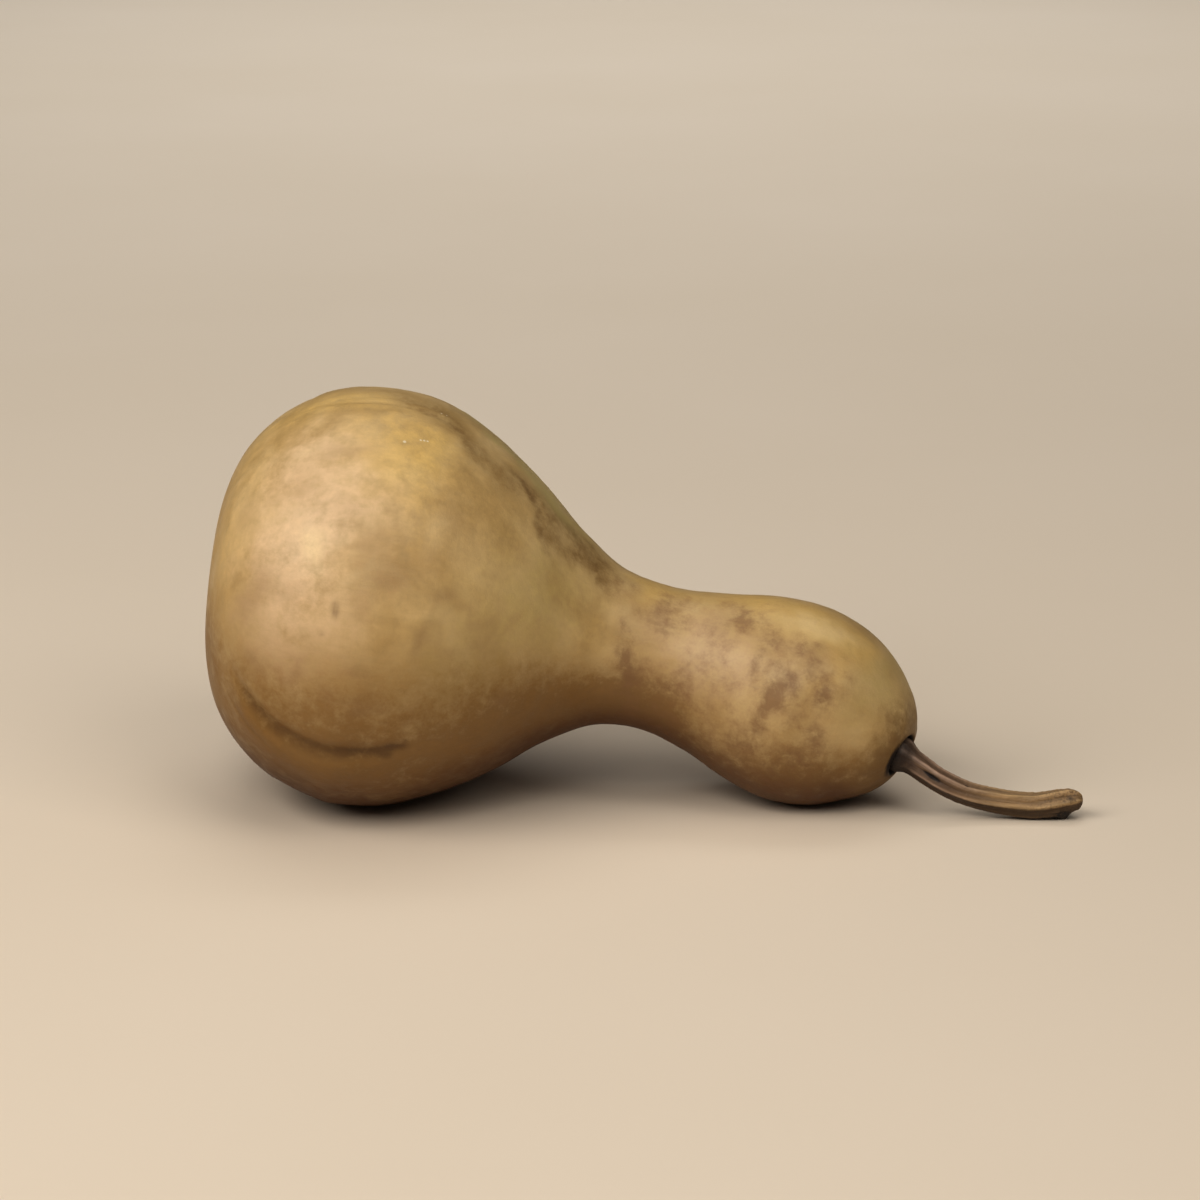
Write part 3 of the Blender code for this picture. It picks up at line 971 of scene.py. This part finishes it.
def dried_stem_wood():
    """Dried gourd stem: fibrous, ridged wood, nearly black where it meets the fruit and bleached
    grey-tan toward its torn tip, with dull, lengthwise fibres. Its pale crests are a painted
    highlight, and its grooves, slits and lower side are darkened with painted shade."""
    material, tree, shader = new_material("dried_stem_wood")
    place = put(tree, "ShaderNodeTexCoord").outputs["Object"]
    grain = put(tree, "ShaderNodeAttribute", attribute_name="fibre").outputs["Vector"]
    # Fibres about 0.6 mm wide and 9 mm long, clouds of about 2 mm and pits of about 0.6 mm
    wires = {"Vector": grain, "Scale": 1500.0, "Detail": 4.0}
    fibre = put(tree, "ShaderNodeTexNoise", wires).outputs["Fac"]
    wires = {"Vector": place, "Scale": 480.0, "Detail": 4.0}
    cloud = put(tree, "ShaderNodeTexNoise", wires).outputs["Fac"]
    wires = {"Vector": place, "Scale": 1500.0, "Detail": 3.0}
    pits = put(tree, "ShaderNodeTexNoise", wires).outputs["Fac"]
    tip = put(tree, "ShaderNodeAttribute", attribute_name="toward_tip").outputs["Fac"]
    ridge = put(tree, "ShaderNodeAttribute", attribute_name="ridge").outputs["Fac"]
    torn = put(tree, "ShaderNodeAttribute", attribute_name="torn").outputs["Fac"]
    # Painted highlight on the crests, and painted shade in the grooves that fades toward the bleached
    # tip
    wood, pale = (
        put(tree, "ShaderNodeMix", {0: tip, 6: linear(a), 7: linear(b)}, data_type="RGBA").outputs[2]
        for a, b in (WOOD_COLOURS, CREST_HIGHLIGHT_COLOURS)
    )
    wires = {"Value": ridge, "From Min": -0.25, "From Max": 0.90, "To Max": 0.80}
    crest = put(tree, "ShaderNodeMapRange", wires).outputs[0]
    wires = {0: crest, 6: wood, 7: pale}
    wood = put(tree, "ShaderNodeMix", wires, data_type="RGBA").outputs[2]
    wires = {"Value": ridge, "From Min": -0.3, "From Max": -0.95, "To Max": 0.55}
    groove = put(tree, "ShaderNodeMapRange", wires).outputs[0]
    wires = {0: tip, 1: -0.55, 2: 1.0}
    worn = put(tree, "ShaderNodeMath", wires, operation="MULTIPLY_ADD").outputs[0]
    groove = put(tree, "ShaderNodeMath", {0: groove, 1: worn}, operation="MULTIPLY").outputs[0]
    wires = {0: groove, 6: wood, 7: linear(GROOVE_SHADE_COLOUR)}
    wood = put(tree, "ShaderNodeMix", wires, data_type="RGBA").outputs[2]
    wires = {0: cloud, 1: 0.5, 2: -0.25}
    fray = put(tree, "ShaderNodeMath", wires, operation="MULTIPLY_ADD").outputs[0]
    for name, code, low, high, share in WOOD_MARKS:
        mark = put(tree, "ShaderNodeAttribute", attribute_name=name).outputs["Fac"]
        frayed = put(tree, "ShaderNodeMath", {0: mark, 1: fray}, operation="ADD").outputs[0]
        wires = {"Value": frayed, "From Min": low, "From Max": high, "To Max": share}
        cover = put(tree, "ShaderNodeMapRange", wires, interpolation_type="SMOOTHSTEP").outputs[0]
        wires = {0: cover, 6: wood, 7: linear(code)}
        wood = put(tree, "ShaderNodeMix", wires, data_type="RGBA").outputs[2]
    wires = {"Value": pits, "From Min": 0.50, "From Max": 0.62, "To Max": 0.6}
    pits = put(tree, "ShaderNodeMapRange", wires).outputs[0]
    pits = put(tree, "ShaderNodeMath", {0: pits, 1: torn}, operation="MULTIPLY").outputs[0]
    wires = {0: pits, 6: wood, 7: linear(PIT_COLOUR)}
    wood = put(tree, "ShaderNodeMix", wires, data_type="RGBA").outputs[2]
    wires = {"Value": fibre, "From Min": 0.3, "From Max": 0.7, "To Min": 0.70, "To Max": 1.20}
    shade = put(tree, "ShaderNodeMapRange", wires).outputs[0]
    wires = {0: 1.0, 6: wood, 7: shade}
    wood = put(tree, "ShaderNodeMix", wires, data_type="RGBA", blend_type="MULTIPLY").outputs[2]
    tree.links.new(wood, shader.inputs["Base Color"])
    wires = {"Value": cloud, "From Min": 0.3, "From Max": 0.7, "To Min": 0.50, "To Max": 0.72}
    rough = put(tree, "ShaderNodeMapRange", wires).outputs[0]
    tree.links.new(rough, shader.inputs["Roughness"])
    shader.inputs["IOR"].default_value = WOOD_IOR
    wires = {}
    for height, strength, depth in ((fibre, 0.7, 0.0002), (cloud, 0.8, 0.0003)):
        wires |= {"Height": height, "Strength": strength, "Distance": depth}
        wires["Normal"] = put(tree, "ShaderNodeBump", wires).outputs[0]
    tree.links.new(wires["Normal"], shader.inputs["Normal"])
    return material


FLOOR_COLOURS, FLOOR_ROUGHNESS = ("#D8CBB8", "#DED2C2"), 0.85


def pale_floor():
    """Matt painted board: even and pale, with faint clouds of about 0.3 m so that it isn't dead
    flat, and a grain of about 1 mm."""
    material, tree, shader = new_material("matt_pale_board")
    place = put(tree, "ShaderNodeTexCoord").outputs["Object"]
    wires = {"Vector": place, "Scale": 3.0, "Detail": 3.0}
    cloud = put(tree, "ShaderNodeTexNoise", wires).outputs["Fac"]
    wires = {0: cloud, 6: linear(FLOOR_COLOURS[0]), 7: linear(FLOOR_COLOURS[1])}
    colour = put(tree, "ShaderNodeMix", wires, data_type="RGBA").outputs[2]
    tree.links.new(colour, shader.inputs["Base Color"])
    shader.inputs["Roughness"].default_value = FLOOR_ROUGHNESS
    wires = {"Vector": place, "Scale": 900.0, "Detail": 2.0}
    grain = put(tree, "ShaderNodeTexNoise", wires).outputs["Fac"]
    skin = put(tree, "ShaderNodeBump", {"Height": grain, "Strength": 0.1, "Distance": 0.0002})
    tree.links.new(skin.outputs[0], shader.inputs["Normal"])
    return material


# The studio

EYE = (-0.0120, -0.9640, 0.3328)
PITCH_DOWN = math.radians(16)
FOCAL_PIXELS = 3571
FRAME_PIXELS = 1200
SENSOR_MM = 36
LIGHT_AIM = (-0.04, 0.0, 0.05)
LIGHT_DISTANCE = 1.5
# Name, degrees left of the camera, degrees up, side of the square and power
STUDIO_LIGHTS = (
    ("left_window", 56, 38, 0.9, 13.0),
    ("front_glow", 15, 42, 0.6, 6.0),
    ("ceiling", 0, 84, 1.0, 3.6),
    ("right_window", -40, 46, 0.9, 6.8),
)
LIGHT_COLOUR, ROOM_COLOUR, ROOM_STRENGTH = "#FFFAF4", "#E4E0DC", 0.08
FLOOR_HALF_SIDE = 6.0
# A lamp straight over the floor behind the fruit, which lights the background
WASH_PLACE = (0.0, 1.9, 2.2)
WASH_SIZE = 2.4
WASH_POWER = 17.0
WASH_SPREAD = math.radians(80)
VIEW_GAMMA = 0.83
VIEW_EXPOSURE = 0.0


def stand_camera():
    """The camera at the photograph's own place, looking level along +Y and down by the pitch."""
    camera = bpy.data.cameras.new("camera")
    camera.sensor_width = SENSOR_MM
    camera.lens = SENSOR_MM * FOCAL_PIXELS / FRAME_PIXELS
    stand = bpy.data.objects.new("camera", camera)
    stand.location = EYE
    stand.rotation_euler = (math.pi / 2 - PITCH_DOWN, 0, 0)
    bpy.context.scene.collection.objects.link(stand)
    bpy.context.scene.camera = stand


def soft_light(name, turn, rise, size, power):
    """A square soft box on a sphere round the fruit, turned to face it. It stands at an angle to
    the left of the camera and an angle above the floor, in degrees."""
    turn, rise = math.radians(turn), math.radians(rise)
    level = math.cos(rise)
    toward = Vector((-math.sin(turn) * level, -math.cos(turn) * level, math.sin(rise)))
    light = bpy.data.lights.new(name, "AREA")
    light.size = size
    light.energy = power
    light.color = linear(LIGHT_COLOUR)[:3]
    lamp = bpy.data.objects.new(name, light)
    lamp.location = Vector(LIGHT_AIM) + toward * LIGHT_DISTANCE
    lamp.rotation_euler = toward.to_track_quat("Z", "Y").to_euler()
    bpy.context.scene.collection.objects.link(lamp)


def dress_studio():
    """A pale floor, four soft boxes round the fruit, a lamp over the far floor and a dim pale
    room round them."""
    half = FLOOR_HALF_SIDE
    corners = [(-half, -half, 0), (half, -half, 0), (half, half, 0), (-half, half, 0)]
    mesh = bpy.data.meshes.new("floor")
    mesh.from_pydata(corners, [], [(0, 1, 2, 3)])
    mesh.materials.append(pale_floor())
    floor = bpy.data.objects.new("floor", mesh)
    bpy.context.scene.collection.objects.link(floor)
    for name, turn, rise, size, power in STUDIO_LIGHTS:
        soft_light(name, turn, rise, size, power)
    wash = bpy.data.lights.new("far_floor_wash", "AREA")
    wash.size = WASH_SIZE
    wash.energy = WASH_POWER
    wash.spread = WASH_SPREAD
    lamp = bpy.data.objects.new("far_floor_wash", wash)
    lamp.location = WASH_PLACE
    bpy.context.scene.collection.objects.link(lamp)
    world = bpy.data.worlds.new("room")
    world.use_nodes = True
    room = world.node_tree.nodes["Background"]
    room.inputs["Color"].default_value = linear(ROOM_COLOUR)
    room.inputs["Strength"].default_value = ROOM_STRENGTH
    bpy.context.scene.world = world
    view = bpy.context.scene.view_settings
    view.view_transform = "Standard"
    view.gamma = VIEW_GAMMA
    view.exposure = VIEW_EXPOSURE


stand_camera()
dress_studio()
fruit = dressed_fruit(dried_gourd_rind())
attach(fruit, "root")
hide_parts("gourd_body")
wood = dressed_stem(dried_stem_wood())
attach(wood, "root")
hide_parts("stem")
